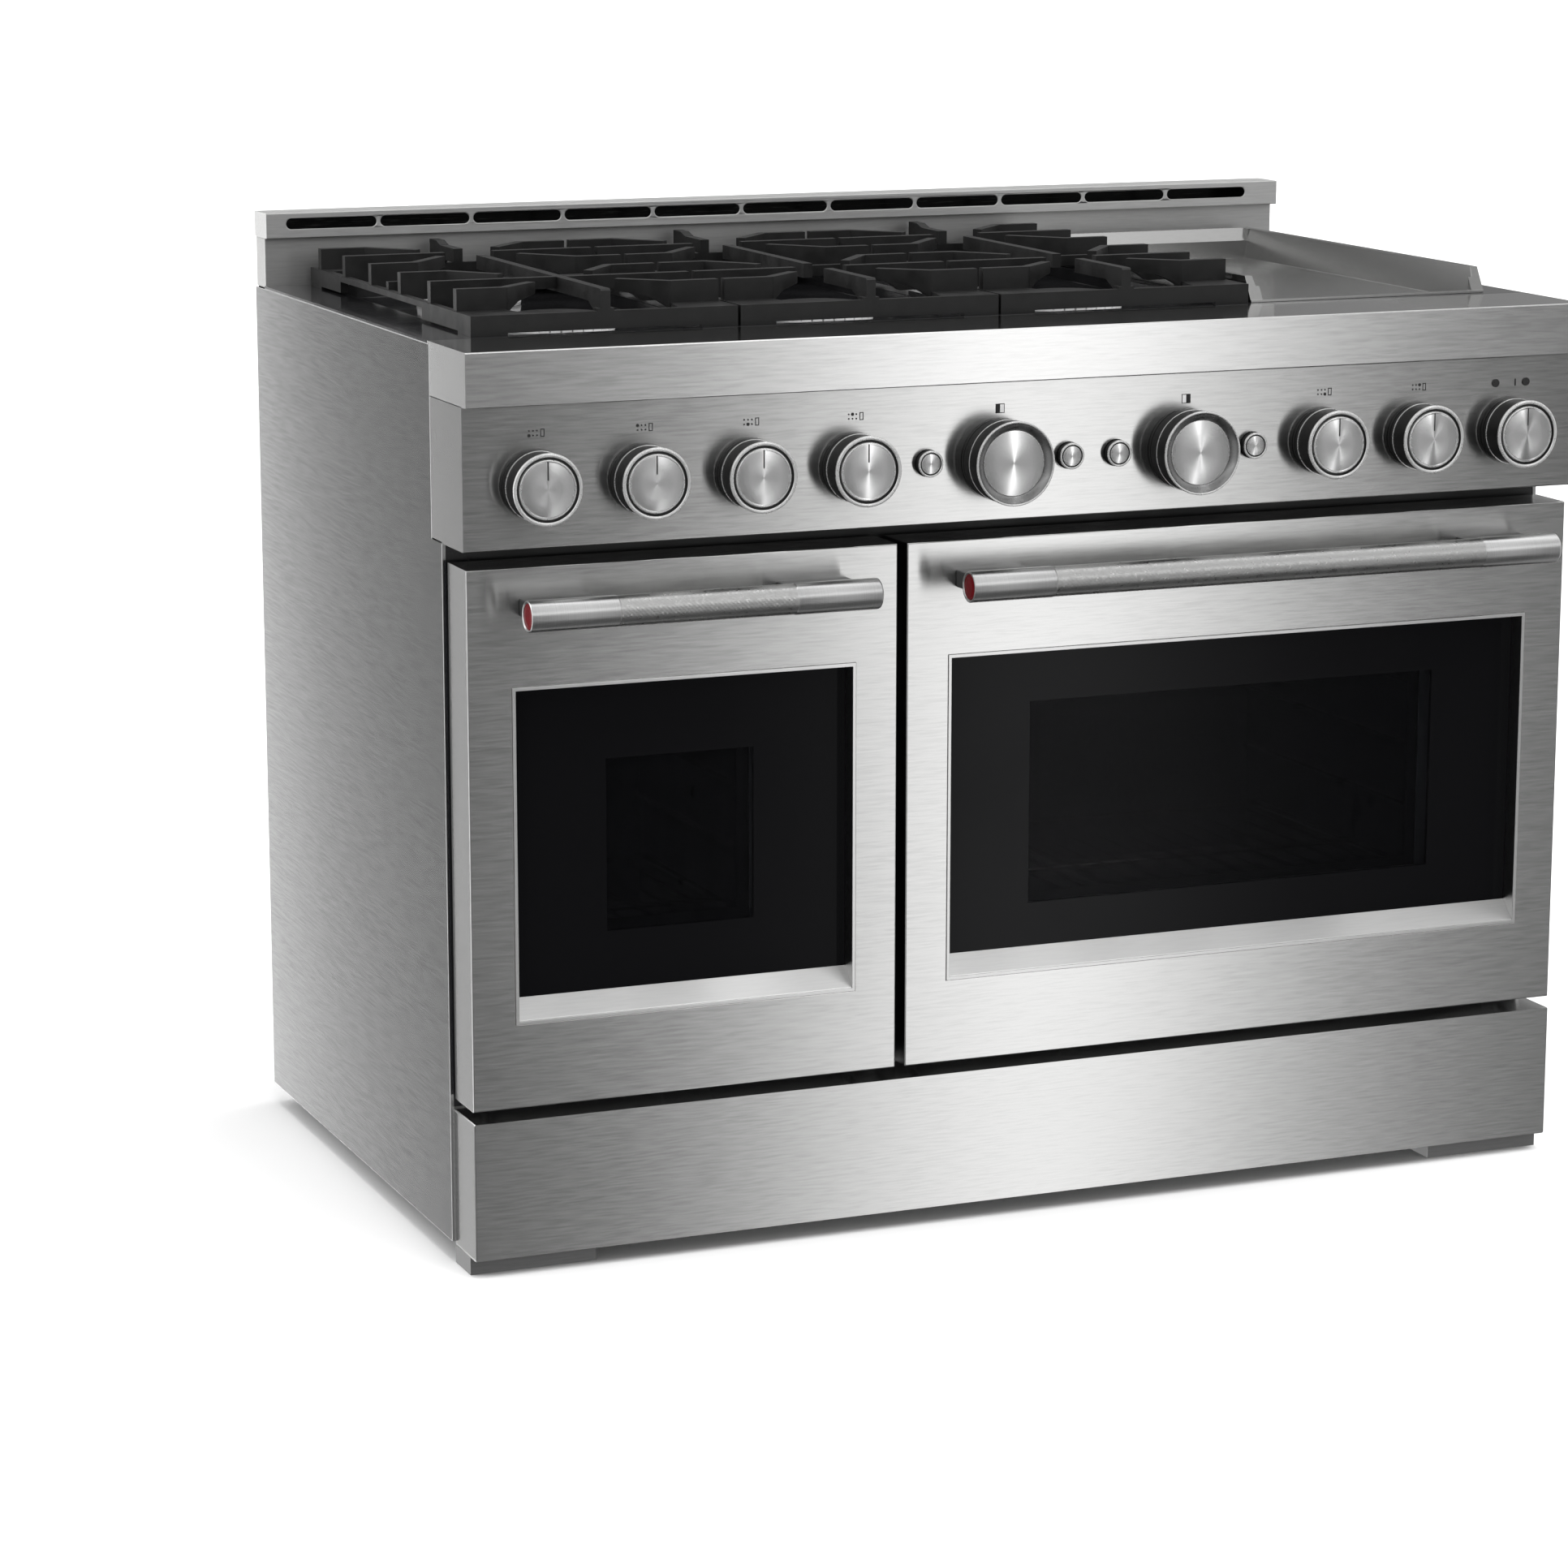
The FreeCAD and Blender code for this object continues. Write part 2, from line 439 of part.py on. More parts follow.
def grate(x0, x1, cross):
    xc = (x0 + x1) / 2
    t = 8.0
    zb = RAIL_TOP - 20.0 + 0.05
    parts = []
    # front and rear rails, raised between corner feet
    for d0, d1 in ((GR_D0, GR_D0 + t), (GR_D1 - t, GR_D1)):
        parts.append(B(x0, x1, d0, d1, zb + 2.4, RAIL_TOP))
        parts.append(B(x0, x0 + 38, d0, d1, zb, zb + 3))
        parts.append(B(x1 - 38, x1, d0, d1, zb, zb + 3))
    # corner legs along the sides, gussets and the thin side rails
    for xa, xb in ((x0, x0 + t), (x1 - t, x1)):
        for da, db, fa, fb in ((GR_D0, GR_D0 + 154, GR_D0, GR_D0 + 40),
                               (GR_D1 - 110, GR_D1, GR_D1 - 40, GR_D1)):
            parts.append(B(xa, xb, da, db, zb + 2.4, RAIL_TOP))
            parts.append(B(xa, xb, fa, fb, zb, zb + 3))
        parts.append(B(xa, xb, GR_D0 + 150, GR_D1 - 106, RAIL_TOP - 6, RAIL_TOP))
    for xa, s in ((x0, 1), (x1, -1)):
        for da, e in ((GR_D0, 1), (GR_D1, -1)):
            pts = [(xa, da), (xa + s * 62, da), (xa + s * 52, da + e * 52), (xa, da + e * 60)]
            parts.append(prism_z(pts, RAIL_TOP - 6, RAIL_TOP))
    # fingers
    bars = []
    f, r = BURN_D
    zl = RAIL_TOP - 6
    for s, xe in ((1, x0), (-1, x1)):
        def X(v):
            return xe + s * v
        bars += path([(X(1.8), r + 88), (X(52), r + 88), (X(96), r + 40)], 10, zl, GR_TOP)
        bars += path([(X(1.8), r), (X(112), r)], 10, zl, GR_TOP)
        bars += path([(X(1.8), r - 92), (X(50), r - 92), (X(96), r - 38)], 10, zl, GR_TOP)
        bars += path([(X(1.8), f + 98), (X(52), f + 98), (X(92), f + 46)], 10, zl, GR_TOP)
        bars += path([(X(1.8), f), (X(140 if cross else 112), f)], 10, zl, GR_TOP)
        bars += path([(X(1.8), f - 82), (X(52), f - 82), (X(94), f - 42)], 10, zl, GR_TOP)
    plan = bars[0].multiFuse(bars[1:])
    h = (x1 - x0) / 2
    prof = [(x0 - 1, zl), (x0 + 52, zl), (x0 + 60, zl + 6), (x0 + 72, zl + 12), (x0 + 98, zl + 16),
            (x1 - 98, zl + 16), (x1 - 72, zl + 12), (x1 - 60, zl + 6), (x1 - 52, zl), (x1 + 1, zl), (x1 + 1, GR_TOP - 2), (x1 - 0.01, GR_TOP),
            (x0 + 0.01, GR_TOP), (x0 - 1, GR_TOP - 2)]
    plan = plan.common(prism_y(prof, 100, 700))
    # bars on the grate's centre line
    mid = []
    if cross:
        mid.append(B(xc - 5, xc + 5, GR_D0, r - 42, zl, GR_TOP))
    else:
        mid.append(B(xc - 5, xc + 5, f + 30, r - 32, zl, GR_TOP))
        mid.append(B(xc - 5, xc + 5, GR_D0, f - 24, zl, GR_TOP))
    mid.append(B(xc - 5, xc + 5, r + 34, GR_D1, zl, GR_TOP))
    mid = mid[0].multiFuse(mid[1:])
    lo, hi = GR_D0, GR_D1
    mprof = [(lo - 1, zl), (lo + 10, zl), (lo + 38, zl + 13), (hi - 38, zl + 13), (hi - 10, zl),
             (hi + 1, zl), (hi + 1, GR_TOP), (lo + 2, GR_TOP), (lo - 1, GR_TOP - 3)]
    mid = mid.common(prism_x(mprof, xc - 30, xc + 30))
    # the short cross member that joins the middle bars to the sides
    tie = None
    if not cross:
        dm = (f + r) / 2
        tie = B(x0 + 4, x1 - 4, dm - 4, dm + 4, zl, zl + 14)
        tie = tie.cut(B(x0 + 40, x1 - 40, dm - 6, dm + 6, zl - 1, zl + 3))
    else:
        dm = (f + r) / 2
        tie = B(x0 + 4, x1 - 4, dm - 4, dm + 4, zl, zl + 14)
        tie = tie.cut(B(x0 + 40, x1 - 40, dm - 6, dm + 6, zl - 1, zl + 3))
    stub = B(xc - 9, xc + 9, GR_D0, GR_D0 + 12, RAIL_TOP - 1, RAIL_TOP + 2.6)
    lug = prism_x([(GR_D1 - 36, GR_TOP - 1), (GR_D1, GR_TOP - 1), (GR_D1, GR_TOP + 4),
                   (GR_D1 - 22, GR_TOP + 4), (GR_D1 - 36, GR_TOP + 0.2)], xc - 5, xc + 5)
    return fuse(parts[0], *(parts[1:] + plan.Solids + mid.Solids + [tie, stub, lug]))


for n, (x0, x1), c in zip(("grate_left", "grate_middle", "grate_right"), GRATES, (True, False, False)):
    save(n, grate(x0, x1, c))

# ---------------------------------------------------------------- backguard
riser = cut(B(-606.4, 606.4, RISER_D, D_REAR, 911.7, HOOD_Z - 0.1),
            B(-606.4 + T, 606.4 - T, RISER_D + T, D_REAR - T, 900, HOOD_Z + 5))
save("backguard_riser", riser)
hood = cut(B(-XS, XS, HOOD_D, D_REAR, HOOD_Z, H_ALL),
           B(-XS + T, XS - T, HOOD_D + T, D_REAR - T, HOOD_Z - 5, H_ALL - T))
lipf = B(-XS + T, XS - T, HOOD_D + T, RISER_D + 1.4, HOOD_Z, HOOD_Z + T)
hood = fuse(hood, lipf)
hood = cut(hood, *[stadium_y(SLOT_X0 + i * SLOT_P, SLOT_X0 + i * SLOT_P + SLOT_W, SLOT_Z, SLOT_H,
                             HOOD_D - 2, HOOD_D + 4) for i in range(SLOT_N)])
save("vent_hood", hood)

# -------------------------------------------------------------------- doors
HINGE_X = {"left": (-575.0, -187.0), "right": (-117.0, 575.0)}
arms = []
for k in ("left", "right"):
    x0, x1 = DOORS[k]
    wx0, wx1, wz0, wz1 = WIN[k]
    d0, d1 = DOOR_D, DOOR_D + DOOR_T
    slots = []
    for hx in HINGE_X[k]:
        slots.append(B(hx - 4.5, hx + 4.5, PIVOT_D - 7, d1 + 5, DOOR_Z0 - 5, DOOR_Z0 + 5))
        slots.append(B(hx - 4.5, hx + 4.5, d1 - 20, d1 + 5, DOOR_Z0 - 5, PIVOT_Z + 12))
    skin = cut(B(x0, x1, d0, d1, DOOR_Z0, DOOR_Z1),
               B(x0 + T, x1 - T, d0 + 2, d1 + 5, DOOR_Z0 + T, DOOR_Z1 - T),
               B(wx0, wx1, d0 - 5, d0 + 5, wz0, wz1), *slots)
    ed = [e for e in skin.Edges if abs(e.BoundBox.YMin - Y(d0)) < 1e-3
          and abs(e.BoundBox.YMax - Y(d0)) < 1e-3
          and (e.BoundBox.XLength > (x1 - x0) * 0.98 or e.BoundBox.ZLength > 520)]
    try:
        skin = skin.makeFillet(1.3, ed)
    except Exception as err:
        print("door fillet", err)
    save("door_skin_" + k, skin)
    # window surround: a bright bead, reveal walls and a sloping sill
    bead = cut(B(wx0 + 0.1, wx1 - 0.1, d0 - 0.8, GLASS_D - 0.1, wz0 + 0.1, wz1 - 0.1),
               B(wx0 + 3.6, wx1 - 3.6, d0 - 5, GLASS_D + 5, wz0 + 3.6, wz1 - 3.6))
    sill = prism_x([(d0 + 0.4, wz0 + 3.0), (d0 + 0.4, wz0 + 4.2), (GLASS_D - 0.1, wz0 + 23.0),
                    (GLASS_D - 0.1, wz0 + 3.0)], wx0 + 2.0, wx1 - 2.0)
    save("window_surround_" + k, fuse(bead, sill))
    outer = B(wx0 - 4, wx1 + 4, GLASS_D, GLASS_D + 4, wz0 - 4, wz1 + 4)
    # inner liner with its own pane
    cx0, cx1, cz0, cz1 = CAV[k]
    ix0, ix1, iz0, iz1 = wx0 + 92, wx1 - 92, wz0 + 60, wz1 - 50
    liner = cut(B(x0 + T + 0.2, x1 - T - 0.2, d1 - 14, d1, DOOR_Z0 + T + 0.2, DOOR_Z1 - T - 0.2),
                B(x0 + 8, x1 - 8, d1 - 20, d1 - T, DOOR_Z0 + 26, DOOR_Z1 - 8))
    plug = B(cx0 + 16, cx1 - 16, d1 - 0.1, d1 + 14, cz0 + 16, cz1 - 16)
    plug = cut(plug, B(cx0 + 18, cx1 - 18, d1 - 5, d1 + 12.4, cz0 + 18, cz1 - 18))
    liner = fuse(liner, plug)
    liner = cut(liner, B(ix0, ix1, d1 - 25, d1 + 25, iz0, iz1), *slots)
    save("door_liner_" + k, liner)
    save("door_glass_" + k, outer,
         B(ix0 - 12, ix1 + 12, d1 + 7.5, d1 + 12.2, iz0 - 12, iz1 + 12))
    # handle: tube with plugged ends on two oblong posts
    hx0, hx1 = x0 + 42.8, x1 - 42.8
    tube = cyl_x(HANDLE_D, HANDLE_Z, hx0, hx1, HANDLE_R)
    try:
        tube = tube.makeFillet(2.2, [e for e in tube.Edges if e.Length < 100 and
                                     abs(e.BoundBox.XMin - hx1) < 1e-3 and e.BoundBox.XLength < 1e-3])
    except Exception as err:
        print("tube fillet", err)
    tube = cut(tube, cyl_x(HANDLE_D, HANDLE_Z, hx0 - 1, hx0 + 2.0, 13.6))
    save("handle_tube_" + k, tube)
    save("handle_medallion_" + k, cyl_x(HANDLE_D, HANDLE_Z, hx0 + 0.4, hx0 + 1.9, 13.4))
    posts = []
    for a, b in ((hx0 + 10, hx0 + 86), (hx1 - 86, hx1 - 10)):
        p = B(a, b, HANDLE_D, d0 - 0.05, HANDLE_Z - 8.5, HANDLE_Z + 8.5)
        p = p.cut(cyl_x(HANDLE_D, HANDLE_Z, a - 5, b + 5, HANDLE_R + 0.05))
        posts.append(p)
    save("handle_posts_" + k, *posts)
    # hinges: a fixed arm from the face frame and a clevis with a pin in the door
    clev = []
    for hx in HINGE_X[k]:
        arm = fuse(cyl_x(PIVOT_D, PIVOT_Z, hx - 3, hx + 3, 6.5),
                   B(hx - 3, hx + 3, PIVOT_D, FRAME_D - 0.1, PIVOT_Z - 5, PIVOT_Z + 5),
                   B(hx - 12, hx + 12, FRAME_D - 3.1, FRAME_D - 0.1, PIVOT_Z - 9, PIVOT_Z + 9))
        arms.append(cut(arm, cyl_x(PIVOT_D, PIVOT_Z, hx - 5, hx + 5, 4.06)))
        cl = fuse(B(hx - 7.6, hx - 4.6, 18, 40, DOOR_Z0 + T + 0.1, 208),
                  B(hx + 4.6, hx + 7.6, 18, 40, DOOR_Z0 + T + 0.1, 208),
                  B(hx - 7.6, hx + 7.6, 18, 40, 200, 208),
                  cyl_x(PIVOT_D, PIVOT_Z, hx - 7, hx + 7, 4.0))
        clev.append(cl)
    save("hinge_clevis_" + k, *clev)
save("hinge_arms", *arms)

# oven racks: wire grids on the lowest usable ledges
for k, zl in (("left", LEDGES[0]), ("right", LEDGES[0])):
    x0, x1, z0, z1 = CAV[k]
    zc = zl + 5 + 3.2
    r = 3.0
    ra, rb = x0 + 4, x1 - 4
    da, db = 118.0, 560.0
    w = [cyl_y(ra, zc, da, db, r), cyl_y(rb, zc, da, db, r),
         cyl_x(da, zc, ra, rb, r), cyl_x(db, zc, ra, rb, r)]
    for x in (ra, rb):
        for d in (da, db):
            w.append(Part.makeSphere(r, V(x, Y(d), zc)))
    n = int((rb - ra) / 30)
    for i in range(1, n):
        x = ra + (rb - ra) * i / n
        w.append(cyl_y(x, zc, da, db, 2.0))
    w.append(cyl_x((da + db) / 2, zc, ra, rb, 2.6))
    save("oven_rack_" + k, fuse(*w))
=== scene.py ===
import math

import bmesh
import bpy
from mathutils import Matrix, Vector


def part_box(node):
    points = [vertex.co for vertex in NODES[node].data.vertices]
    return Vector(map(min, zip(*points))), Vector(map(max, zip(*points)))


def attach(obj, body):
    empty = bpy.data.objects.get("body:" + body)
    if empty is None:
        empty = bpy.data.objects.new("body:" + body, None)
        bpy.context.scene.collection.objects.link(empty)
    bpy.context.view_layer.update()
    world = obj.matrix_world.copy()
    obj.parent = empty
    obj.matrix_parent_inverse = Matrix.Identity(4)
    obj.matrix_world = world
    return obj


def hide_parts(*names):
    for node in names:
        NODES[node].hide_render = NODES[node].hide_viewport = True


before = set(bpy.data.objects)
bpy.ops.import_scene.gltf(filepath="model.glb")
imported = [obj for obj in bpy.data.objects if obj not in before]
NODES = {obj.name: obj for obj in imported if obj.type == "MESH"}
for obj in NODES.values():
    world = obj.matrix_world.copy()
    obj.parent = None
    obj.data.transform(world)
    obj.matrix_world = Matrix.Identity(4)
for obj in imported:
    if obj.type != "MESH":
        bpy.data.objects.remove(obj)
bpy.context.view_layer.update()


# ------------------------------------------------------------ node helpers
class Mat:
    """A Principled material with a few shorthand node makers."""

    def __init__(self, name, base=(0.5, 0.5, 0.5), rough=0.4, metal=0.0, **sockets):
        self.m = bpy.data.materials.new(name)
        self.m.use_nodes = True
        self.t = self.m.node_tree
        self.p = self.t.nodes["Principled BSDF"]
        self.p.inputs["Base Color"].default_value = (*base, 1.0)
        self.p.inputs["Roughness"].default_value = rough
        self.p.inputs["Metallic"].default_value = metal
        for k, v in sockets.items():
            self.p.inputs[k.replace("_", " ")].default_value = v
        self.tc = self.t.nodes.new("ShaderNodeTexCoord")
        self.m.diffuse_color = (*base, 1.0)

    def link(self, a, b):
        self.t.links.new(a, b)

    def node(self, kind, **attrs):
        n = self.t.nodes.new(kind)
        for k, v in attrs.items():
            setattr(n, k, v)
        return n

    def noise(self, scale=(1, 1, 1), size=1.0, detail=2.0, rough=0.5, coord=None):
        mp = self.node("ShaderNodeMapping")
        mp.inputs["Scale"].default_value = scale
        self.link(coord or self.tc.outputs["Object"], mp.inputs["Vector"])
        n = self.node("ShaderNodeTexNoise")
        n.inputs["Scale"].default_value = size
        n.inputs["Detail"].default_value = detail
        n.inputs["Roughness"].default_value = rough
        self.link(mp.outputs["Vector"], n.inputs["Vector"])
        return n.outputs["Fac"]

    def remap(self, src, lo, hi, a=0.3, b=0.7):
        n = self.node("ShaderNodeMapRange")
        n.inputs["From Min"].default_value = a
        n.inputs["From Max"].default_value = b
        n.inputs["To Min"].default_value = lo
        n.inputs["To Max"].default_value = hi
        self.link(src, n.inputs["Value"])
        return n.outputs["Result"]

    def math(self, op, a, b=0.0):
        n = self.node("ShaderNodeMath", operation=op)
        for i, v in enumerate((a, b)):
            if isinstance(v, (int, float)):
                n.inputs[i].default_value = v
            else:
                self.link(v, n.inputs[i])
        return n.outputs[0]

    def ramp(self, src, stops):
        n = self.node("ShaderNodeValToRGB")
        e = n.color_ramp.elements
        while len(e) < len(stops):
            e.new(0.5)
        for s, (pos, c) in zip(e, stops):
            s.position = pos
            s.color = (*(c if isinstance(c, tuple) else (c, c, c)), 1.0)
        self.link(src, n.inputs["Fac"])
        return n.outputs["Color"]

    def bump(self, height, dist, strength=1.0):
        n = self.node("ShaderNodeBump")
        n.inputs["Strength"].default_value = strength
        n.inputs["Distance"].default_value = dist
        self.link(height, n.inputs["Height"])
        self.link(n.outputs["Normal"], self.p.inputs["Normal"])

    def across(self, axis):
        """Tangent across the brushing: surface normal x brushing direction."""
        g = self.node("ShaderNodeNewGeometry")
        c = self.node("ShaderNodeVectorMath", operation="CROSS_PRODUCT")
        c.inputs[1].default_value = axis
        self.link(g.outputs["Normal"], c.inputs[0])
        self.link(c.outputs["Vector"], self.p.inputs["Tangent"])


def brushed(name, base, rough, aniso, axis, streak, amount=0.05, spread=0.05, top=None, painted_shade_box=None):
    """top: roughness of upward faces. painted_shade_box: (y, z, ...) beyond and below which the sheet's inside gets
    painted shade, a darker base colour.
    """
    m = Mat(name, base, rough, 1.0, Anisotropic=aniso)
    m.across(axis)
    fine = m.noise(streak, 1.0, 3.0, 0.6)
    cloud = m.noise((3, 3, 3), 1.0, 2.0)
    r = m.remap(fine, rough - spread, rough + spread)
    if top is not None:
        g = m.node("ShaderNodeNewGeometry")
        s = m.node("ShaderNodeSeparateXYZ")
        m.link(g.outputs["Normal"], s.inputs[0])
        up = m.remap(s.outputs[2], 0.0, 1.0, 0.9, 0.97)
        r = m.math("ADD", m.math("MULTIPLY", r, m.math("SUBTRACT", 1.0, up)), m.math("MULTIPLY", up, top))
    m.link(r, m.p.inputs["Roughness"])
    both = m.math("ADD", m.remap(fine, -amount, amount), m.remap(cloud, -0.015, 0.015))
    lum = m.math("ADD", both, 0.5)
    b = base
    # painted shade: within the box the sheet's inside faces get a darker base colour, standing in for shade inside the
    # vent slot
    if painted_shade_box is not None:
        s = m.node("ShaderNodeSeparateXYZ")
        m.link(m.tc.outputs["Object"], s.inputs[0])
        painted_shade_mask = m.math("MULTIPLY", m.math("GREATER_THAN", s.outputs[1], painted_shade_box[0]),
                     m.math("LESS_THAN", s.outputs[2], painted_shade_box[1]))
        painted_shade_mask = m.math("MULTIPLY", painted_shade_mask, m.math("LESS_THAN", m.math("ABSOLUTE", s.outputs[0]), painted_shade_box[2]))
        painted_shade_mask = m.math("MULTIPLY", painted_shade_mask, m.math("LESS_THAN", s.outputs[1], painted_shade_box[3]))
        lum = m.math("SUBTRACT", lum, m.math("MULTIPLY", painted_shade_mask, 0.45))
    m.link(m.ramp(lum, [(0.06, tuple(c * 0.05 for c in b)), (0.3, tuple(c * 0.6 for c in b)), (0.5, b),
                        (0.7, tuple(min(c * 1.25, 1) for c in b))]), m.p.inputs["Base Color"])
    return m.m


SX = (32, 460, 460)
SY = (460, 32, 460)
FR = (1.0, 0.05, 0.0)
# painted light and shade: the same brushed steel gets a lighter or darker base tone on each part (front 0.64, ledge
# 0.76, panel 0.60, hood 0.78, riser 0.66), standing in for how brightly each part is lit
front_steel = brushed("front_steel_mat", (0.64, 0.64, 0.635), 0.21, 0.8, FR, SX, 0.05, 0.01)
ledge_steel = brushed("ledge_steel_mat", (0.76, 0.76, 0.755), 0.22, 0.8, FR, SX, 0.045, 0.01, top=0.09)
panel_steel = brushed("panel_steel_mat", (0.60, 0.60, 0.595), 0.2, 0.8, FR, SX, 0.05, 0.01)
hood_steel = brushed("hood_steel_mat", (0.78, 0.78, 0.775), 0.5, 0.0, FR, SX, 0.04, 0.03,
                     painted_shade_box=(0.3405, 0.9898, 0.6062, 0.3829))
riser_steel = brushed("riser_steel_mat", (0.66, 0.66, 0.655), 0.5, 0.0, FR, SX, 0.04, 0.03)
side_steel = brushed("side_steel_mat", (0.60, 0.60, 0.60), 0.14, 0.95, (0.05, 1.0, 0.03), SY, 0.05, 0.004)
# painted shade: the leg shields are steel, given a dark base tone that stands in for the shadow they sit in under the
# range
shield_steel = brushed("shield_steel_mat", (0.26, 0.26, 0.26), 0.4, 0.6, (1.0, 0.05, 0.03), SX)
griddle_steel = brushed("griddle_steel_mat", (0.43, 0.43, 0.425), 0.2, 0.5, (1.0, 0.05, 0.03), (90, 400, 400), 0.012, 0.012)
bead_steel = brushed("window_bead_mat", (0.8, 0.8, 0.795), 0.3, 0.92, FR, SX, 0.02, 0.01)
rack_wire = brushed("rack_wire_mat", (0.72, 0.72, 0.73), 0.16, 0.2, (1.0, 0.05, 0.03), (60, 60, 60), 0.02, 0.03)
pipe_steel = brushed("pipe_steel_mat", (0.42, 0.43, 0.44), 0.35, 0.3, (1.0, 0.05, 0.03), (30, 300, 300), 0.05)


def galvanised():
    m = Mat("galvanised_mat", (0.5, 0.51, 0.52), 0.4, 1.0)
    v = m.node("ShaderNodeTexVoronoi")
    v.inputs["Scale"].default_value = 90
    m.link(m.tc.outputs["Object"], v.inputs["Vector"])
    s = m.node("ShaderNodeSeparateColor")
    m.link(v.outputs["Color"], s.inputs["Color"])
    m.link(m.ramp(s.outputs[0], [(0, (0.47, 0.48, 0.49)), (1, (0.56, 0.57, 0.58))]), m.p.inputs["Base Color"])
    m.link(m.remap(s.outputs[1], 0.38, 0.48, 0, 1), m.p.inputs["Roughness"])
    m.bump(m.noise((200, 200, 200)), 0.00005, 0.3)
    return m.m


def cast_iron():
    m = Mat("cast_iron_mat", (0.011, 0.011, 0.011), 0.44, 0.0, Specular_IOR_Level=0.42)
    grain = m.noise((1, 1, 1), 900.0, 3.0, 0.65)
    blotch = m.noise((1, 1, 1), 45.0, 3.0)
    g = m.node("ShaderNodeNewGeometry")
    m.link(m.ramp(blotch, [(0.35, 0.008), (0.65, 0.013)]), m.p.inputs["Base Color"])
    m.link(m.remap(blotch, 0.38, 0.54), m.p.inputs["Roughness"])
    m.bump(grain, 0.00018, 0.55)
    return m.m


def enamel(name, base, rough, fleck=None, coat=0.0):
    m = Mat(name, base, rough, 0.0, Coat_Weight=coat, Coat_Roughness=0.05)
    n = m.noise((1, 1, 1), 700.0, 2.0)
    wave = m.noise((1, 1, 1), 14.0, 2.0)
    if fleck:
        m.link(m.ramp(n, [(0.0, base), (0.62, base), (0.68, fleck), (1.0, fleck)]), m.p.inputs["Base Color"])
    else:
        m.link(m.ramp(wave, [(0.3, tuple(c * 0.85 for c in base)), (0.7, tuple(c * 1.15 for c in base))]),
               m.p.inputs["Base Color"])
    m.link(m.remap(wave, rough * 0.8, rough * 1.25), m.p.inputs["Roughness"])
    m.bump(wave, 0.0003, 0.15)
    return m.m


galv = galvanised()
iron = cast_iron()
cooktop = enamel("cooktop_enamel_mat", (0.014, 0.014, 0.015), 0.13, coat=0.3)
frame_black = enamel("frame_enamel_mat", (0.012, 0.012, 0.013), 0.32)
oven_blue = enamel("oven_enamel_mat", (0.05, 0.053, 0.062), 0.34, fleck=(0.12, 0.125, 0.14))
post_black = enamel("post_black_mat", (0.022, 0.022, 0.022), 0.38)


def cast_alu():
    m = Mat("burner_aluminium_mat", (0.93, 0.93, 0.93), 0.35, 0.2)
    n = m.noise((1, 1, 1), 500.0, 3.0)
    m.link(m.remap(n, 0.32, 0.48), m.p.inputs["Roughness"])
    m.link(m.ramp(n, [(0.3, 0.88), (0.7, 0.96)]), m.p.inputs["Base Color"])
    m.bump(n, 0.0001, 0.4)
    return m.m


def plain(name, base, rough, size, metal=0.0, vary=0.12, bump=0.0001):
    m = Mat(name, base, rough, metal)
    n = m.noise((1, 1, 1), size, 3.0)
    m.link(m.ramp(n, [(0.3, tuple(c * (1 - vary) for c in base)), (0.7, tuple(min(1, c * (1 + vary)) for c in base))]),
           m.p.inputs["Base Color"])
    m.link(m.remap(n, rough * 0.85, min(1.0, rough * 1.15)), m.p.inputs["Roughness"])
    m.bump(n, bump, 0.4)
    return m.m


alu = cast_alu()
rubber = plain("gasket_mat", (0.03, 0.03, 0.03), 0.8, 1200.0, bump=0.0005)
wool = plain("insulation_mat", (0.72, 0.69, 0.6), 0.95, 220.0, bump=0.002)
brass = plain("brass_mat", (0.72, 0.54, 0.26), 0.28, 300.0, metal=1.0, vary=0.06)
lamp_black = plain("lamp_mat", (0.015, 0.015, 0.015), 0.22, 400.0)
mark_black = plain("mark_mat", (0.02, 0.02, 0.02), 0.5, 900.0)
mark_white = plain("mark_white_mat", (0.85, 0.85, 0.85), 0.45, 900.0, vary=0.02)
barrel_black = plain("knob_barrel_mat", (0.022, 0.022, 0.022), 0.42, 300.0, metal=0.9)
# painted shade: black on the knobs' groove floors stands in for shade in the recess; the same black also draws the
# pointer line and the knobs' back faces
groove_shade_and_pointer_black = plain("knob_groove_shade_and_pointer_mat", (0.02, 0.02, 0.02), 0.5, 500.0)


def polished(name, base, rough, metal=1.0):
    m = Mat(name, base, rough, metal)
    n = m.noise((1, 1, 1), 260.0, 2.0)
    m.link(m.remap(n, rough * 0.8, rough * 1.3), m.p.inputs["Roughness"])
    m.link(m.ramp(n, [(0.3, tuple(c * 0.96 for c in base)), (0.7, base)]), m.p.inputs["Base Color"])
    return m.m


ring_steel = polished("knob_ring_mat", (0.74, 0.74, 0.735), 0.16)
rim_steel = polished("knob_rim_mat", (0.8, 0.8, 0.795), 0.29, 0.8)
dish_steel = polished("knob_dish_mat", (0.32, 0.32, 0.32), 0.28)


def sleeve():
    """Turned bar: fine rings round it, so light spreads along the bar and not across it."""
    m = Mat("handle_sleeve_mat", (0.74, 0.74, 0.735), 0.32, 1.0, Anisotropic=0.7)
    along = m.node("ShaderNodeCombineXYZ")
    n = m.noise((900, 8, 8), 1.0, 3.0)
    along.inputs[0].default_value = 1.0
    along.inputs[1].default_value = 0.004
    m.link(m.remap(n, 0.0, 0.01), along.inputs[2])
    m.link(along.outputs[0], m.p.inputs["Tangent"])
    m.link(m.remap(n, 0.31, 0.34), m.p.inputs["Roughness"])
    m.link(m.ramp(n, [(0.3, 0.68), (0.7, 0.78)]), m.p.inputs["Base Color"])
    return m.m


sleeve_steel = sleeve()
knurl_steel = polished("handle_knurl_mat", (0.56, 0.56, 0.555), 0.33)


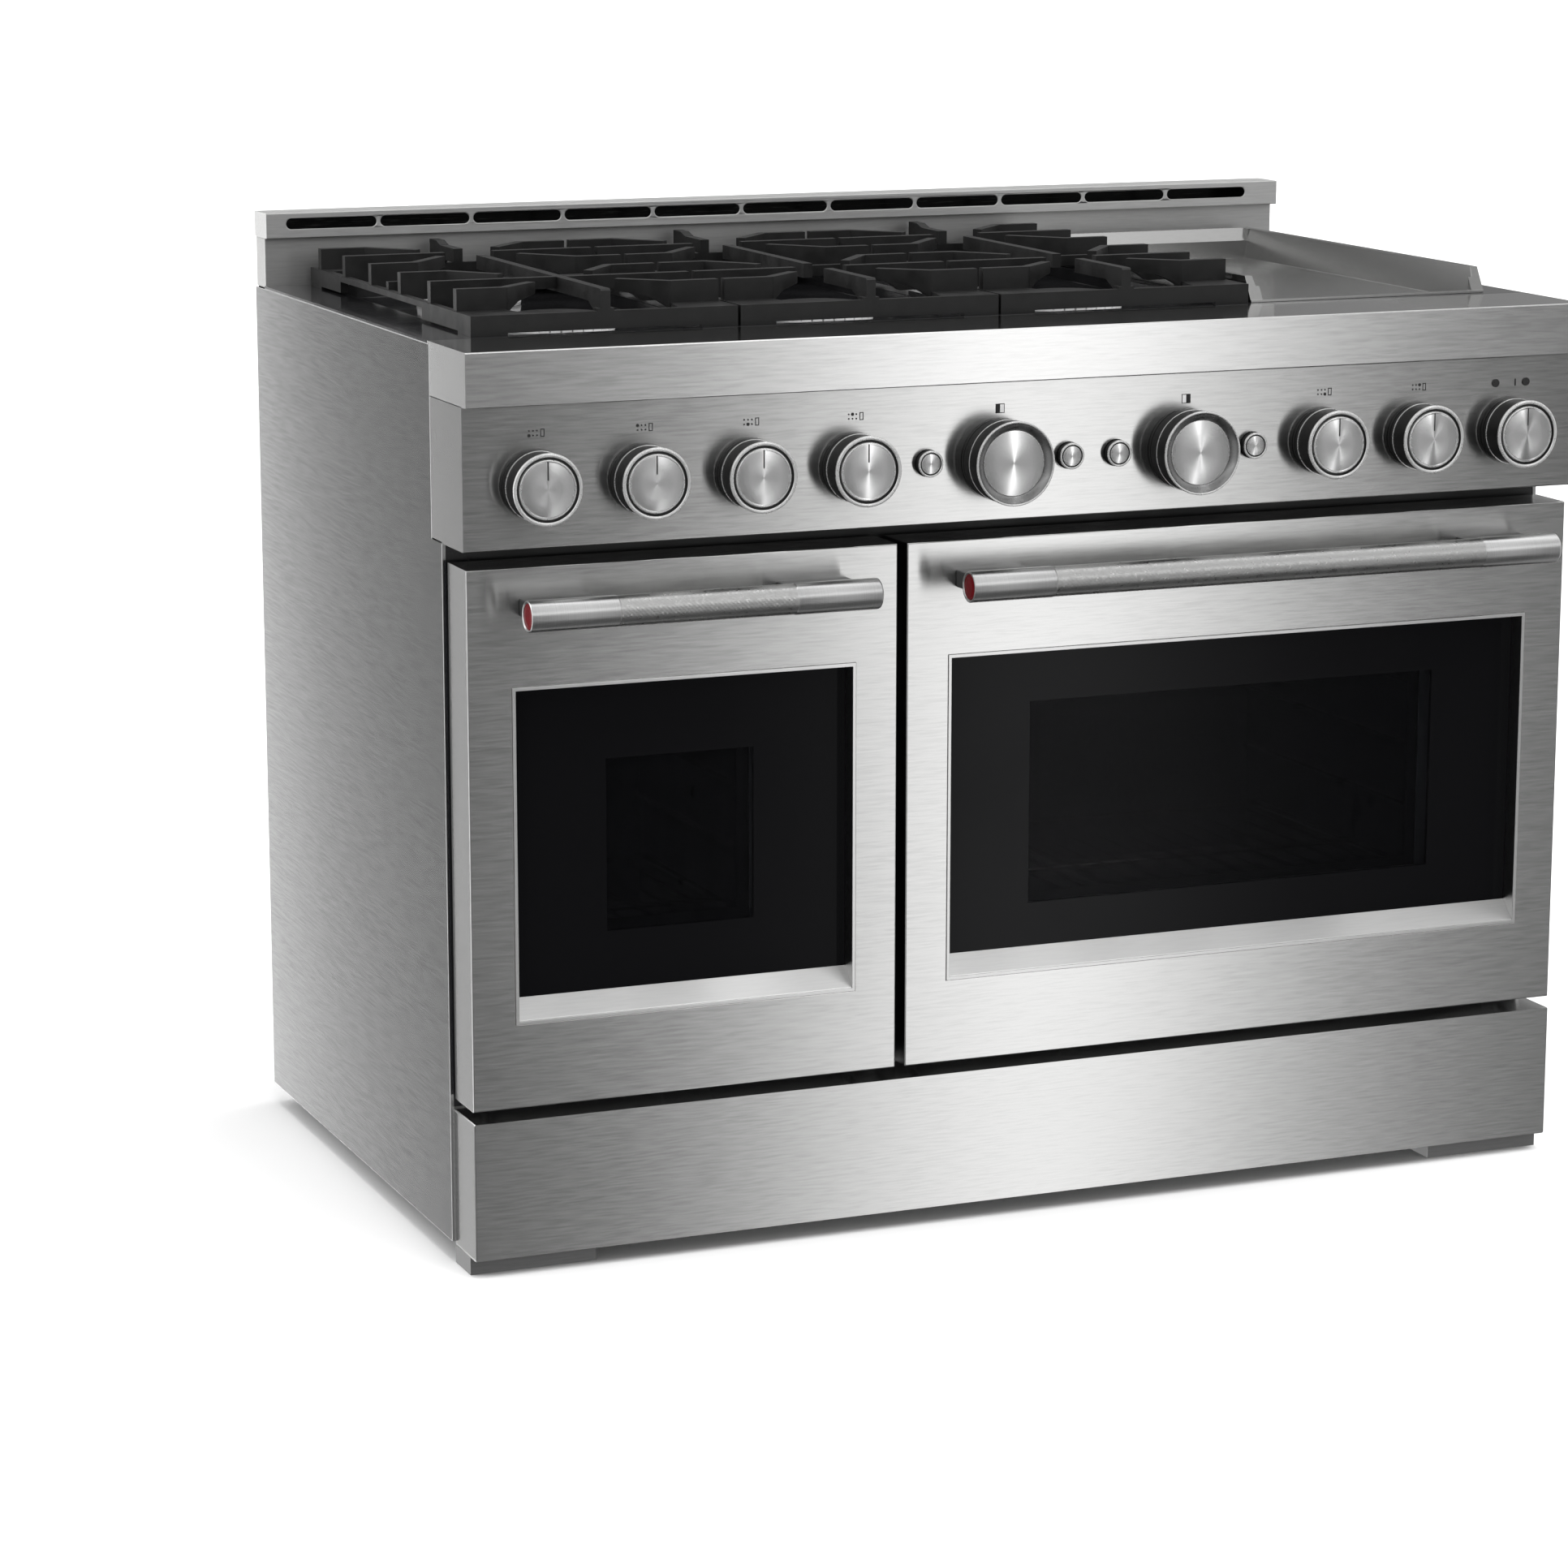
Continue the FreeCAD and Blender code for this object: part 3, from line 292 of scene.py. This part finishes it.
def spun():
    """Turned disc: fine concentric rings, brightest across the lathe marks."""
    m = Mat("knob_spun_mat", (0.8, 0.8, 0.795), 0.3, 1.0, Anisotropic=1.0)
    flat = m.node("ShaderNodeVectorMath", operation="MULTIPLY")
    flat.inputs[1].default_value = (1.0, 0.0, 1.0)
    m.link(m.tc.outputs["Object"], flat.inputs[0])
    ln = m.node("ShaderNodeVectorMath", operation="LENGTH")
    m.link(flat.outputs["Vector"], ln.inputs[0])
    tr = m.node("ShaderNodeVectorTransform", vector_type="VECTOR", convert_from="OBJECT", convert_to="WORLD")
    m.link(flat.outputs["Vector"], tr.inputs[0])
    nz = m.node("ShaderNodeVectorMath", operation="NORMALIZE")
    m.link(tr.outputs[0], nz.inputs[0])
    m.link(nz.outputs["Vector"], m.p.inputs["Tangent"])
    comb = m.node("ShaderNodeCombineXYZ")
    m.link(m.math("MULTIPLY", ln.outputs["Value"], 2200.0), comb.inputs[0])
    n = m.node("ShaderNodeTexNoise")
    n.inputs["Scale"].default_value = 1.0
    n.inputs["Detail"].default_value = 3.0
    m.link(comb.outputs[0], n.inputs["Vector"])
    m.link(m.ramp(n.outputs["Fac"], [(0.3, 0.8), (0.7, 0.88)]), m.p.inputs["Base Color"])
    m.link(m.remap(n.outputs["Fac"], 0.235, 0.245), m.p.inputs["Roughness"])
    return m.m


spun_steel = spun()


def medallion():
    m = Mat("medallion_mat", (0.13, 0.001, 0.004), 0.35, 0.0, Specular_IOR_Level=0.15, Coat_Weight=0.05, Coat_Roughness=0.12)
    n = m.noise((1, 1, 1), 400.0, 2.0)
    m.link(m.ramp(n, [(0.3, (0.11, 0.001, 0.004)), (0.7, (0.15, 0.001, 0.005))]), m.p.inputs["Base Color"])
    m.bump(n, 0.0001, 0.3)
    return m.m


red = medallion()


def door_glass(name, x0, x1, z0, z1, xi0, xi1, zi0, zi1):
    """Dark glass with a printed black border; only the middle is see-through."""
    m = Mat(name, (0.004, 0.004, 0.0045), 0.06, 0.0, Specular_IOR_Level=0.07)
    s = m.node("ShaderNodeSeparateXYZ")
    m.link(m.tc.outputs["Object"], s.inputs[0])
    inside = None
    for axis, a, b in ((0, xi0, xi1), (2, zi0, zi1)):
        for v, op in ((a, "GREATER_THAN"), (b, "LESS_THAN")):
            c = m.math(op, s.outputs[axis], v)
            inside = c if inside is None else m.math("MULTIPLY", inside, c)
    m.link(m.math("SUBTRACT", 1.0, m.math("MULTIPLY", inside, 0.62)), m.p.inputs["Alpha"])
    smear = m.noise((1, 1, 1), 9.0, 2.0)
    m.link(m.remap(smear, 0.03, 0.08), m.p.inputs["Roughness"])
    return m.m


glass_left = door_glass("black_glass_left_mat", 0, 0, 0, 0, -0.458, -0.303, 0.335, 0.508)
glass_right = door_glass("black_glass_right_mat", 0, 0, 0, 0, -0.002, 0.462, 0.323, 0.532)


# ---------------------------------------------------- finishes of CAD nodes
def finish_node(names, material, bevel=0.0, segments=2, angle=38):
    for name in names:
        o = NODES[name]
        o.data.materials.clear()
        o.data.materials.append(material)
        if bevel:
            w = o.modifiers.new("weld", "WELD")
            w.merge_threshold = 0.00002
            b = o.modifiers.new("edge", "BEVEL")
            b.width = bevel
            b.segments = segments
            b.limit_method = "ANGLE"
            b.angle_limit = math.radians(angle)
            b.miter_outer = "MITER_ARC"
            b.harden_normals = False
            n = o.modifiers.new("normals", "WEIGHTED_NORMAL")
            n.keep_sharp = True


finish_node(["toe_kick", "door_skin_left", "door_skin_right"], front_steel, 0.0014)
finish_node(["landing_ledge"], ledge_steel, 0.0012)
finish_node(["control_panel"], panel_steel, 0.0009)
finish_node(["vent_hood"], hood_steel, 0.0009)
finish_node(["backguard_riser"], riser_steel, 0.0009)
finish_node(["side_panel_left", "side_panel_right"], side_steel, 0.0008)
finish_node(["leg_shields"], shield_steel, 0.0005)
finish_node(["griddle"], griddle_steel, 0.0012)
finish_node(["window_surround_left", "window_surround_right"], bead_steel, 0.0004)
finish_node(["base_frame", "rear_panel", "hinge_arms", "hinge_clevis_left", "hinge_clevis_right",
             "levelling_legs"], galv)
finish_node(["face_frame"], frame_black, 0.0006)
finish_node(["cooktop_pan"], cooktop, 0.0006)
finish_node(["oven_liner_left", "oven_liner_right", "door_liner_left", "door_liner_right"], oven_blue)
finish_node(["grate_left", "grate_middle", "grate_right"], iron, 0.0011)
finish_node(["burner_caps"], iron)
finish_node(["burner_bases"], alu)
finish_node(["door_glass_left"], glass_left)
finish_node(["door_glass_right"], glass_right)
finish_node(["handle_posts_left", "handle_posts_right"], post_black, 0.0015, 3)
finish_node(["door_gaskets"], rubber)
finish_node(["oven_insulation"], wool)
finish_node(["gas_cocks"], brass)
finish_node(["gas_supply_pipes", "tube_burners"], pipe_steel)
finish_node(["switches_and_lamps"], lamp_black)
finish_node(["oven_rack_left", "oven_rack_right"], rack_wire)
finish_node(["knob_bezels"], barrel_black)


# -------------------------------------------------------- mesh piece makers
def make(name, bm, mats, loc=(0, 0, 0), sharp=32):
    me = bpy.data.meshes.new(name)
    bmesh.ops.recalc_face_normals(bm, faces=bm.faces)
    bm.to_mesh(me)
    bm.free()
    for m in mats:
        me.materials.append(m)
    me.shade_smooth()
    me.set_sharp_from_angle(angle=math.radians(sharp))
    o = bpy.data.objects.new(name, me)
    bpy.context.scene.collection.objects.link(o)
    o.location = loc
    return o


def place(axis, a, r, t):
    c, s = r * math.cos(t), r * math.sin(t)
    return {"front": (c, -a, s), "x": (a, c, s), "z": (c, s, a)}[axis]


def lathe(bm, prof, axis="front", segs=96):
    """prof: (a, r, material of the band that starts here); r 0 closes it."""
    rings = []
    for a, r, _ in prof:
        if r == 0:
            rings.append([bm.verts.new(place(axis, a, 0, 0))])
        else:
            rings.append([bm.verts.new(place(axis, a, r, 2 * math.pi * i / segs)) for i in range(segs)])
    for (p, q), (_, _, m) in zip(zip(rings, rings[1:]), prof):
        for i in range(segs):
            j = (i + 1) % segs
            if len(p) == 1:
                f = (p[0], q[i], q[j])
            elif len(q) == 1:
                f = (p[i], q[0], p[j])
            else:
                f = (p[i], q[i], q[j], p[j])
            bm.faces.new(f).material_index = m


def bar(bm, x0, x1, y0, y1, z0, z1, m, r=0.0, n=5):
    """A block with rounded ends in the XZ plane."""
    pts = []
    r = min(r, (x1 - x0) / 2, (z1 - z0) / 2)
    if r <= 0:
        pts = [(x0, z0), (x1, z0), (x1, z1), (x0, z1)]
    else:
        for cx, cz, a0 in ((x1 - r, z0 + r, -90), (x1 - r, z1 - r, 0), (x0 + r, z1 - r, 90), (x0 + r, z0 + r, 180)):
            for i in range(n):
                t = math.radians(a0 + 90 * i / (n - 1))
                pts.append((cx + r * math.cos(t), cz + r * math.sin(t)))
    lo = [bm.verts.new((x, y0, z)) for x, z in pts]
    hi = [bm.verts.new((x, y1, z)) for x, z in pts]
    faces = [bm.faces.new(lo), bm.faces.new(list(reversed(hi)))]
    for i in range(len(pts)):
        j = (i + 1) % len(pts)
        faces.append(bm.faces.new((lo[i], hi[i], hi[j], lo[j])))
    for f in faces:
        f.material_index = m


Y0 = -0.3315


def D(d):
    return Y0 + d / 1000.0


MM = 0.001
PANEL_D, KNOB_Z = 13.2, 0.7834
PANEL_Y = D(PANEL_D)
KNOBS = {"burner_knob_1": -534.2, "burner_knob_2": -424.2, "burner_knob_3": -314.3, "burner_knob_4": -204.5,
         "burner_knob_5": 313.9, "burner_knob_6": 423.9, "griddle_knob": 534.0}
DIALS = {"oven_dial_left": -48.4, "oven_dial_right": 157.4}
BUTTONS = {"push_button_1": -126.6, "push_button_2": 27.2, "push_button_3": 79.6, "push_button_4": 232.6}
# knob materials: 0 barrel, 1 bright rim, 2 black for the groove floors (painted shade in the recess) and the pointer
# line, 3 spun disc, 4 dish
KNOB_MATS = [barrel_black, rim_steel, groove_shade_and_pointer_black, spun_steel, dish_steel]

for name, x in KNOBS.items():
    L, R = 35.8, 35.0
    p = [(2.9, 10.0, 2), (2.9, 32.6, 0), (3.4, 33.6, 0), (9.1, 33.7, 0), (9.2, 34.3, 1),
         (10.2, 34.3, 1), (10.3, 33.7, 0), (L - 3.3, 33.9, 0), (L - 2.9, 34.2, 1), (L - 2.6, 34.8, 1),
         (L - 2.2, R, 1), (L - 1.4, R, 1), (L - 0.8, R - 0.2, 1), (L - 0.35, R - 0.7, 1), (L - 0.08, R - 1.3, 1),
         (L, R - 2.0, 1), (L - 0.08, R - 2.7, 1), (L - 0.35, R - 3.2, 1), (L - 0.8, R - 3.6, 2),
         (L - 3.4, R - 3.8, 2), (L - 3.4, 28.9, 1), (L - 1.4, 28.8, 1), (L - 0.9, 28.6, 1), (L - 0.6, 28.2, 1),
         (L - 0.5, 27.7, 3), (L - 0.5, 26.6, 3), (L - 0.56, 26.4, 3), (L - 0.56, 26.0, 3), (L - 0.5, 25.8, 3),
         (L - 0.5, 14.0, 3), (L - 0.5, 0, 3)]
    bm = bmesh.new()
    lathe(bm, [(a * MM, r * MM, m) for a, r, m in p], segs=112)
    bar(bm, -0.7 * MM, 0.7 * MM, -(L - 0.42) * MM, -(L - 0.9) * MM, 9 * MM, 27.0 * MM, 2, 0.5 * MM)
    o = make(name + "_trim", bm, KNOB_MATS, (x * MM, PANEL_Y, KNOB_Z))
    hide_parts(name)
    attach(o, name + "_body")

for name, x in DIALS.items():
    L, R = 38.8, 42.2
    p = [(2.9, 10.0, 2), (2.9, 39.8, 0), (3.4, 40.8, 0), (17.4, 41.1, 0), (17.5, 41.6, 1),
         (18.3, 41.6, 1), (18.4, 41.1, 0), (L - 2.6, 41.2, 0), (L - 2.4, 41.5, 1), (L - 2.1, 42.0, 1),
         (L - 1.8, R, 1), (L - 0.8, R, 1), (L - 0.35, R - 0.2, 1), (L - 0.1, R - 0.6, 1), (L, R - 1.1, 1),
         (L - 0.1, R - 1.6, 1), (L - 0.4, R - 2.0, 4), (L - 0.9, R - 2.3, 4), (L - 2.4, 38.2, 4), (L - 3.8, 36.4, 4),
         (L - 4.8, 34.4, 4), (L - 5.2, 33.4, 4), (L - 5.3, 33.0, 2), (L - 5.3, 32.7, 1), (L - 4.9, 32.5, 1),
         (L - 4.8, 32.2, 3), (L - 4.8, 15.0, 3), (L - 4.8, 0, 3)]
    bm = bmesh.new()
    lathe(bm, [(a * MM, r * MM, m) for a, r, m in p], segs=128)
    o = make(name + "_trim", bm, KNOB_MATS, (x * MM, PANEL_Y, KNOB_Z))
    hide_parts(name)
    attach(o, name + "_body")

for name, x in BUTTONS.items():
    L, R = 9.0, 13.3
    p = [(-9.0, 2.0, 0), (-9.0, R - 0.3, 0), (L - 1.8, R - 0.2, 0), (L - 1.5, R, 1), (L - 0.8, R, 1),
         (L - 0.35, R - 0.2, 1), (L - 0.05, R - 0.7, 1), (L, R - 1.1, 1), (L - 0.05, R - 1.6, 1),
         (L - 0.4, R - 2.0, 2), (L - 1.8, R - 2.1, 2), (L - 1.8, R - 3.1, 2), (L - 0.8, R - 3.2, 1),
         (L - 0.45, R - 3.4, 1), (L - 0.35, R - 3.7, 3), (L - 0.35, 4.0, 3), (L - 0.35, 0, 3)]
    bm = bmesh.new()
    lathe(bm, [(a * MM, r * MM, m) for a, r, m in p], segs=64)
    o = make(name + "_trim", bm, KNOB_MATS, (x * MM, PANEL_Y, KNOB_Z))
    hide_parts(name)
    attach(o, name + "_body")

# --------------------------------------------------------------- handles
HANDLE_R, HANDLE_Y, HANDLE_Z = 15.5, D(-37.0), 0.666


def knurled(bm, x0, x1, r, depth, pitch, around, m):
    """Diamond knurl cut between x0 and x1, in millimetres."""
    per, along = 4, max(2, round((x1 - x0) / pitch))
    segs, rows = around * per, along * per
    rings = []
    for i in range(rows + 1):
        x = x0 + (x1 - x0) * i / rows
        ring = []
        for k in range(segs):
            u, v = k / per, i / per
            f = 0.5 - 0.25 * (math.cos(2 * math.pi * (u + v)) + math.cos(2 * math.pi * (u - v)))
            edge = min(1.0, min(i, rows - i) / 3.0)
            h = depth * (f * 1.0 - 0.5) * edge
            ring.append(bm.verts.new(place("x", x * MM, (r + h) * MM, 2 * math.pi * k / segs)))
        rings.append(ring)
    for p, q in zip(rings, rings[1:]):
        for k in range(segs):
            j = (k + 1) % segs
            bm.faces.new((p[k], q[k], q[j], p[j])).material_index = m


for side, body in (("left", "oven_door_left"), ("right", "oven_door_right")):
    lo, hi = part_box("handle_tube_" + side)
    a, b = lo[0] / MM, hi[0] / MM
    g0, g1 = a + 90.0, b - 90.0
    R = HANDLE_R
    bm = bmesh.new()
    left = [(a + 3.2, 9.0, 1), (a + 3.0, R - 2.5, 1), (a + 0.5, R - 2.1, 0), (a, R - 1.4, 0), (a + 0.1, R - 0.7, 0),
            (a + 0.6, R - 0.1, 0), (a + 1.2, R, 0), (g0 - 1.0, R, 0), (g0 - 0.3, R - 0.2, 0), (g0, R - 0.5, 0),
            (g0 + 0.4, R - 0.6, 0)]
    right = [(g1 - 0.4, R - 0.6, 0), (g1, R - 0.5, 0), (g1 + 0.3, R - 0.2, 0), (g1 + 1.0, R, 0), (b - 3.2, R, 0),
             (b - 1.6, R - 0.5, 0), (b - 0.6, R - 1.7, 0), (b - 0.15, R - 4.0, 0), (b, R - 9.0, 0), (b, 0, 0)]
    lathe(bm, [(x * MM, r * MM, m) for x, r, m in left], "x", 72)
    lathe(bm, [(x * MM, r * MM, m) for x, r, m in right], "x", 72)
    knurled(bm, g0 + 0.2, g1 - 0.2, R - 0.5, 0.32, 4.4, 22, 1)
    o = make("handle_bar_" + side, bm, [sleeve_steel, knurl_steel], (0, HANDLE_Y, HANDLE_Z), 50)
    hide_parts("handle_tube_" + side)
    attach(o, body)
    bm = bmesh.new()
    lathe(bm, [(x * MM, r * MM, m) for x, r, m in
               [(a + 3.4, 12.9, 0), (a + 1.3, 12.8, 0), (a + 0.9, 12.4, 0), (a + 0.8, 11.6, 0), (a + 1.1, 11.2, 0),
                (a + 1.1, 10.7, 0), (a + 0.8, 10.3, 0), (a + 0.55, 6.0, 0), (a + 0.5, 0, 0)]], "x", 64)
    o = make("medallion_disc_" + side, bm, [red], (0, HANDLE_Y, HANDLE_Z), 40)
    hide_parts("handle_medallion_" + side)
    o.visible_glossy = False
    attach(o, body)

# ------------------------------------------------------ marks on the panel
bm = bmesh.new()
y1, y0 = PANEL_Y + 0.00005, PANEL_Y - 0.00012


def dot(x, z, r):
    bar(bm, (x - r) * MM, (x + r) * MM, y0, y1, (z - r) * MM, (z + r) * MM, 0, r * MM, 4)


def outline(x0, x1, z0, z1, w):
    for c in ((x0, x1, z0, z0 + w), (x0, x1, z1 - w, z1), (x0, x0 + w, z0 + w, z1 - w), (x1 - w, x1, z0 + w, z1 - w)):
        bar(bm, c[0] * MM, c[1] * MM, y0, y1, c[2] * MM, c[3] * MM, 0)


BIG = [(0, 0), (0, 1), (1, 0), (1, 1), (2, 0), (2, 1)]
for (x, big) in zip([-534.2, -424.2, -314.3, -204.5, 313.9, 423.9], BIG):
    for i in range(3):
        for j in range(2):
            dot(x - 6.6 + 4.0 * i, 831.2 + 4.4 * j, 1.7 if (i, j) == big else 0.9)
    outline(x + 4.8, x + 9.0, 829.5, 837.3, 0.85)
for x, left in ((-48.6, True), (157.2, False)):
    outline(x - 4.9, x + 4.9, 829.2, 838.6, 0.7)
    bar(bm, (x - 4.5 if left else x) * MM, (x if left else x + 4.5) * MM, y0, y1, 0.8296, 0.8382, 0)
    bar(bm, (x if left else x - 4.3) * MM, (x + 4.3 if left else x) * MM, y0, y1, 0.8298, 0.838, 1)
bar(bm, 0.5376, 0.5394, y0, y1, 0.8298, 0.8368, 0)
o = make("panel_marks", bm, [mark_black, mark_white], (0, 0, 0))
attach(o, "chassis")

# ----------------------------------------------------------- floor, lights
bm = bmesh.new()
bmesh.ops.create_grid(bm, x_segments=8, y_segments=8, size=40.0)
fm = Mat("floor_mat", (0.93, 0.93, 0.93), 0.75, 0.0, Specular_IOR_Level=0.1)
fn = fm.noise((1, 1, 1), 3.0, 2.0)
fm.link(fm.ramp(fn, [(0.3, 0.925), (0.7, 0.935)]), fm.p.inputs["Base Color"])
floor = make("studio_floor", bm, [fm.m], (0, 0, 0))
floor.visible_glossy = False

world = bpy.data.worlds.new("studio_world")
bpy.context.scene.world = world
world.use_nodes = True
wt = world.node_tree
wt.nodes.clear()
out = wt.nodes.new("ShaderNodeOutputWorld")
bg = wt.nodes.new("ShaderNodeBackground")
tc = wt.nodes.new("ShaderNodeTexCoord")
sep = wt.nodes.new("ShaderNodeSeparateXYZ")
wt.links.new(tc.outputs["Generated"], sep.inputs[0])


def wm(op, a, b=0.0, c=0.0):
    n = wt.nodes.new("ShaderNodeMath")
    n.operation = op
    for i, v in enumerate((a, b, c)):
        if isinstance(v, (int, float)):
            n.inputs[i].default_value = v
        else:
            wt.links.new(v, n.inputs[i])
    return n.outputs[0]


# azimuth in degrees: 0 out of the front, positive to the right, 180 behind
az = wm("MULTIPLY", wm("ARCTAN2", sep.outputs[0], wm("MULTIPLY", sep.outputs[1], -1.0)), 57.29578)


def lobe(centre, sigma, gain):
    t = wm("DIVIDE", wm("SUBTRACT", az, centre), sigma)
    return wm("MULTIPLY", wm("EXPONENT", wm("MULTIPLY", wm("MULTIPLY", t, t), -1.0)), gain)


def step(src, at, width, gain):
    n = wt.nodes.new("ShaderNodeMapRange")
    n.interpolation_type = "SMOOTHERSTEP"
    n.inputs["From Min"].default_value = at - width / 2
    n.inputs["From Max"].default_value = at + width / 2
    n.inputs["To Min"].default_value = 0.0
    n.inputs["To Max"].default_value = gain
    wt.links.new(src, n.inputs["Value"])
    return n.outputs["Result"]


# the same angle counted from 0 to 360
turn = wm("ADD", az, wm("MULTIPLY", wm("LESS_THAN", az, 0.0), 360.0))
level = wm("ADD", 0.12, lobe(25.4, 2.4, 2.2))
behind = wm("SUBTRACT", step(turn, 180.0, 8.0, 2.8), step(turn, 194.6, 2.2, 2.8))
level = wm("ADD", level, behind)
level = wm("ADD", level, lobe(105.0, 32.0, 0.8))
level = wm("ADD", level, lobe(-45.0, 24.0, 0.42))
level = wm("ADD", level, lobe(-112.0, 18.0, 2.4))
level = wm("ADD", level, lobe(-139.0, 12.0, 0.7))
band = wm("DIVIDE", wm("SUBTRACT", sep.outputs[2], 0.4), 0.16)
band = wm("EXPONENT", wm("MULTIPLY", wm("MULTIPLY", band, band), -1.0))
band = wm("MULTIPLY", band, wm("SUBTRACT", 1.0, step(sep.outputs[1], -0.3, 0.5, 1.0)))
level = wm("ADD", level, wm("MULTIPLY", band, 0.75))
level = wm("MULTIPLY", level, wm("ADD", step(sep.outputs[2], -0.5, 0.35, 0.7), 0.3))
over = wm("DIVIDE", wm("SUBTRACT", sep.outputs[0], 0.395), 0.06)
over = wm("ADD", wm("MULTIPLY", wm("EXPONENT", wm("MULTIPLY", wm("MULTIPLY", over, over), -1.0)), 1.0), 0.32)
level = wm("ADD", level, wm("MULTIPLY", step(sep.outputs[2], 0.62, 0.5, 1.0), over))
wt.links.new(level, bg.inputs["Strength"])
bg.inputs["Color"].default_value = (1, 1, 1, 1)
wt.links.new(bg.outputs[0], out.inputs[0])

sun = bpy.data.lights.new("overhead_sun", "SUN")
sun.energy = 2.6
sun.angle = math.radians(50)
so = bpy.data.objects.new("overhead_sun", sun)
so.rotation_euler = Vector((0.25, -0.35, 1.0)).to_track_quat("Z", "Y").to_euler()
bpy.context.scene.collection.objects.link(so)
so.visible_glossy = False

bpy.context.scene.view_settings.view_transform = "Standard"

cam = bpy.data.cameras.new("camera")
cam.lens = 105.94
cam.sensor_width = 36.0
co = bpy.data.objects.new("camera", cam)
co.location = (-1.9608, -4.4428, 1.4064)
yaw, pitch = math.radians(22.18), math.radians(11.84)
look = Vector((math.sin(yaw) * math.cos(pitch), math.cos(yaw) * math.cos(pitch), -math.sin(pitch)))
co.rotation_mode = "QUATERNION"
co.rotation_quaternion = look.to_track_quat("-Z", "Y")
bpy.context.scene.collection.objects.link(co)
bpy.context.scene.camera = co
